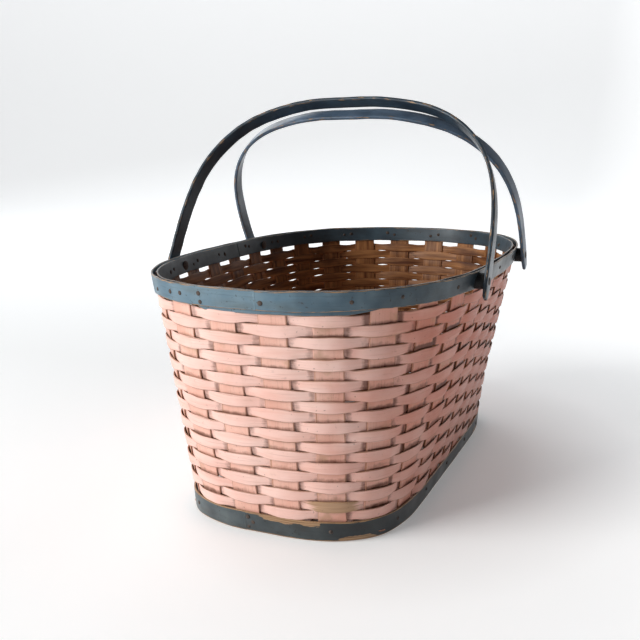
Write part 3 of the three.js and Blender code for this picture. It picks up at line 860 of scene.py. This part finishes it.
inner_share = np.repeat((np.arange(rim_nails) + 0.5) / rim_nails, 2) + np.tile([0.0, 0.0075], rim_nails)
inner_share = inner_share + nail_luck.normal(0, 0.0012, 2 * rim_nails)
inner_z = body_height - 0.0085 + nail_luck.normal(0, 0.0014, 2 * rim_nails)
inner_places, inner_normals = hoop_spots(inner_share, inner_z, inner_middle - hoop_thick / 2, -1.0)

band_nails = 16
foot_share = band_lap + 0.035 + np.arange(band_nails) / band_nails + nail_luck.normal(0, 0.004, band_nails)
foot_z = np.full(band_nails, 0.0105) + nail_luck.normal(0, 0.0012, band_nails)
foot_share = np.concatenate([foot_share, [band_lap + 0.0325, band_lap + 0.0325]])
foot_z = np.concatenate([foot_z, [0.0050, 0.0150]])
foot_places, foot_normals = hoop_spots(foot_share, foot_z, band_middle + band_thick / 2 + 0.0005, 1.0)

iron, iron_tree, iron_shader = new_finish("rusted_iron", 0.7, 0.35)
iron_cloud = blotch_texture(iron_tree, 600.0, 3.0)
iron_share = between(iron_tree, iron_cloud, 0.35, 0.65)
iron_colour = layer(iron_tree, iron_share, tint(0.36, 0.31, 0.28), tint(0.24, 0.21, 0.20))
iron_tree.links.new(iron_colour, iron_shader.inputs["Base Color"])
iron_pits = node(iron_tree, "Bump", {"Height": iron_cloud, "Strength": 0.5, "Distance": 0.0003})
iron_tree.links.new(iron_pits.outputs["Normal"], iron_shader.inputs["Normal"])

places = np.concatenate([outer_places, inner_places, foot_places])
normals = np.concatenate([outer_normals, inner_normals, foot_normals])
radii = nail_radius * (1 + nail_luck.uniform(-0.2, 0.2, len(places)))
nails = nail_heads("nail_heads", places, normals, radii)
nails.data.materials.append(iron)
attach(nails, "basket")

# ---- Swing handles ----
# Two steam-bent strips of ash, each a tall arch whose legs hang outside the rim. They lean together, the
# far arch a little lower so that its top passes under the near one, and each swings down over its own
# end. Hands have worn the blue paint thin along the edges. The near arch's blue is made darker as painted
# shade, and the far arch's lighter as a painted reflection of the pale floor.

handle_width = 0.0165
handle_thick = 0.0039
handle_lean = math.radians(30)
handle_powers = (2.56, 3.29)
handle_tail = 0.0175
pivot_y = 0.091
pivot_z = body_height - 0.010
near_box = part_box("near_handle")
leg_x = near_box[1][0] - handle_thick / 2


def handle_rise(name):
    """Rise of an arch above its pivots, from the top of its box and its lean."""
    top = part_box(name)[1][2] - pivot_z - handle_width / 2 * math.sin(handle_lean)
    return top / math.cos(handle_lean) - handle_thick / 2


def handle_arch(name, direction, seed):
    """Arch x = leg cos^(2/p), z = rise sin^(2/q) between straight tails, leaned over its pivots, as a
    ribbon whose tips are narrowed and rounded."""
    rise = handle_rise(name)
    angle = np.linspace(0.0, np.pi, 4001)[1:-1]
    x = leg_x * np.sign(np.cos(angle)) * np.abs(np.cos(angle)) ** (2 / handle_powers[0])
    z = rise * np.sin(angle) ** (2 / handle_powers[1])
    x = np.concatenate([[leg_x, leg_x], x, [-leg_x, -leg_x]])
    z = np.concatenate([[-handle_tail, 0.0], z, [0.0, -handle_tail]])
    run = np.concatenate([[0.0], np.cumsum(np.hypot(np.diff(x), np.diff(z)))])
    tips = handle_tail * np.array([0.0, 0.03, 0.07, 0.13, 0.2, 0.3, 0.42, 0.56, 0.72, 0.9])
    middle = np.linspace(handle_tail, run[-1] - handle_tail, 300)
    stops = np.concatenate([tips, middle, run[-1] - tips[::-1]])
    x, z = np.interp(stops, run, x), np.interp(stops, run, z)
    turn = direction * handle_lean
    share = stops / run[-1]
    wobble = waver(share, seed, 2, 9, 0.0004) * np.sin(np.pi * share)
    centre = np.stack([x, wobble, z], -1)
    spin = np.array([[1, 0, 0], [0, math.cos(turn), -math.sin(turn)], [0, math.sin(turn), math.cos(turn)]])
    centre = centre @ spin.T + np.array([0.0, direction * pivot_y, pivot_z])
    across = np.broadcast_to(spin @ np.array([0.0, 1.0, 0.0]), centre.shape)
    from_tip = np.minimum(stops, run[-1] - stops) / handle_tail
    half = handle_width / 2 * np.interp(from_tip, [0, 0.07, 0.3, 0.75, 1.0], [0.45, 0.58, 0.72, 0.95, 1.0])
    half = half + waver(share, seed + 1, 8, 40, 0.00012)
    half_thick = handle_thick / 2 * np.interp(from_tip, [0, 0.03, 0.13, 0.5], [0.55, 0.8, 0.94, 1.0])
    return ribbon(name, centre, across, (half, half), half_thick, False, strip_section(9, 7), 5.0 * seed, {},
                  crown=0.06)


# Painted shade and painted reflection: the same blue, darker on the near arch and lighter on the far one.
shaded_near_finish = milk_paint(
    "rubbed_shaded_blue_near_handle", pale=tint(0.24, 0.30, 0.35), deep=tint(0.17, 0.215, 0.26),
    shade=tint(0.20, 0.20, 0.20), chips=-0.07, roughness=0.32, side_shade_and_dirt=0.0, side_shade_start=0.0,
)
sheen_far_finish = milk_paint(
    "rubbed_sheen_blue_far_handle", pale=tint(0.37, 0.44, 0.52), deep=tint(0.26, 0.325, 0.40),
    shade=tint(0.24, 0.25, 0.26), chips=-0.08, roughness=0.30, side_shade_and_dirt=0.0, side_shade_start=0.0,
)
both_handles = (("near_handle", -1, 41, shaded_near_finish), ("far_handle", 1, 51, sheen_far_finish))
for name, direction, seed, finish in both_handles:
    handle = handle_arch(name, direction, seed)
    handle.data.materials.append(finish)
    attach(handle, name)
    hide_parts(name)

# ---- Spacers and rivets ----
# A turned wooden spacer stands each handle leg off the rim, and an iron rivet goes through leg, spacer
# and hoops and is clinched over inside. The legs swing on the rivets.

# Painted shade: the spacers are near black, for the shadow between each handle leg and the rim.
shaded_spacer_finish, spacer_tree, spacer_shader = new_finish("shaded_spacer_wood", 0.6, 0.3)
spacer_cloud = blotch_texture(spacer_tree, 260.0)
spacer_share = between(spacer_tree, spacer_cloud, 0.35, 0.65)
spacer_colour = layer(spacer_tree, spacer_share, tint(0.13, 0.125, 0.125), tint(0.07, 0.07, 0.075))
spacer_tree.links.new(spacer_colour, spacer_shader.inputs["Base Color"])
shank_radius = 0.0024
head_radius = 0.0038
head_proud = 0.0007
clinch_radius = 0.0052
clinch_proud = 0.0011


def turned(name, profile, middle, facing):
    """Solid turned about a line along X through its middle: radii and distances of a profile, swept round
    in 28 steps, with a point at each end."""
    around = 28
    turn = np.linspace(0, 2 * np.pi, around, endpoint=False)
    distance, radius = profile[1:-1, 0], profile[1:-1, 1]
    y = middle[1] + np.outer(radius, np.cos(turn))
    z = middle[2] + np.outer(radius, np.sin(turn))
    x = middle[0] + facing * np.repeat(distance[:, None], around, axis=1)
    rings = np.stack([x, y, z], -1).reshape(-1, 3)
    tips = (profile[0, 0], profile[-1, 0])
    ends = np.array([[middle[0] + facing * tip, middle[1], middle[2]] for tip in tips])
    ring, spot = np.meshgrid(np.arange(len(distance) - 1), np.arange(around), indexing="ij")
    after = (spot + 1) % around
    quads = np.stack([ring * around + spot, ring * around + after, (ring + 1) * around + after,
                      (ring + 1) * around + spot], -1).reshape(-1, 4)
    spot = np.arange(around)
    after = (spot + 1) % around
    last = (len(distance) - 1) * around
    first_cap = np.stack([after, spot, np.full(around, len(rings))], -1)
    last_cap = np.stack([last + spot, last + after, np.full(around, len(rings) + 1)], -1)
    faces = quads.tolist() + first_cap.tolist() + last_cap.tolist()
    if facing > 0:
        faces = [face[::-1] for face in faces]
    mesh = bpy.data.meshes.new(name)
    mesh.from_pydata(np.concatenate([rings, ends]).tolist(), [], faces)
    mesh.polygons.foreach_set("use_smooth", np.ones(len(faces), bool))
    mesh.set_sharp_from_angle(angle=math.radians(40))
    piece = bpy.data.objects.new(name, mesh)
    scene.collection.objects.link(piece)
    return piece


def rivet_profile(outer, inner):
    """Distances along the rivet and radii: a low dome outside, the shank, and a flat clinch inside."""
    return np.array([
        [outer + head_proud, 0.0], [outer + head_proud * 0.9, head_radius * 0.5],
        [outer + head_proud * 0.5, head_radius * 0.86], [outer + 0.0001, head_radius],
        [outer - 0.0002, head_radius], [outer - 0.0002, shank_radius], [inner + 0.0002, shank_radius],
        [inner + 0.0001, clinch_radius], [inner - clinch_proud * 0.6, clinch_radius * 0.94],
        [inner - clinch_proud, clinch_radius * 0.7], [inner - clinch_proud, 0.0],
    ])


for end, side in (("near", -1), ("far", 1)):
    for hand, facing in (("left", -1), ("right", 1)):
        spacer_name, rivet_name = f"{end}_{hand}_spacer", f"{end}_{hand}_rivet"
        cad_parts[spacer_name].data.materials.clear()
        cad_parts[spacer_name].data.materials.append(shaded_spacer_finish)
        rivet_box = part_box(rivet_name)
        reach = sorted(abs(corner[0]) for corner in rivet_box)
        profile = rivet_profile(leg_x + handle_thick / 2, reach[0] + 0.002)
        rivet = turned(rivet_name, profile, (0.0, side * pivot_y, pivot_z), facing)
        rivet.data.materials.append(iron)
        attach(rivet, "basket")
        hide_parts(rivet_name)
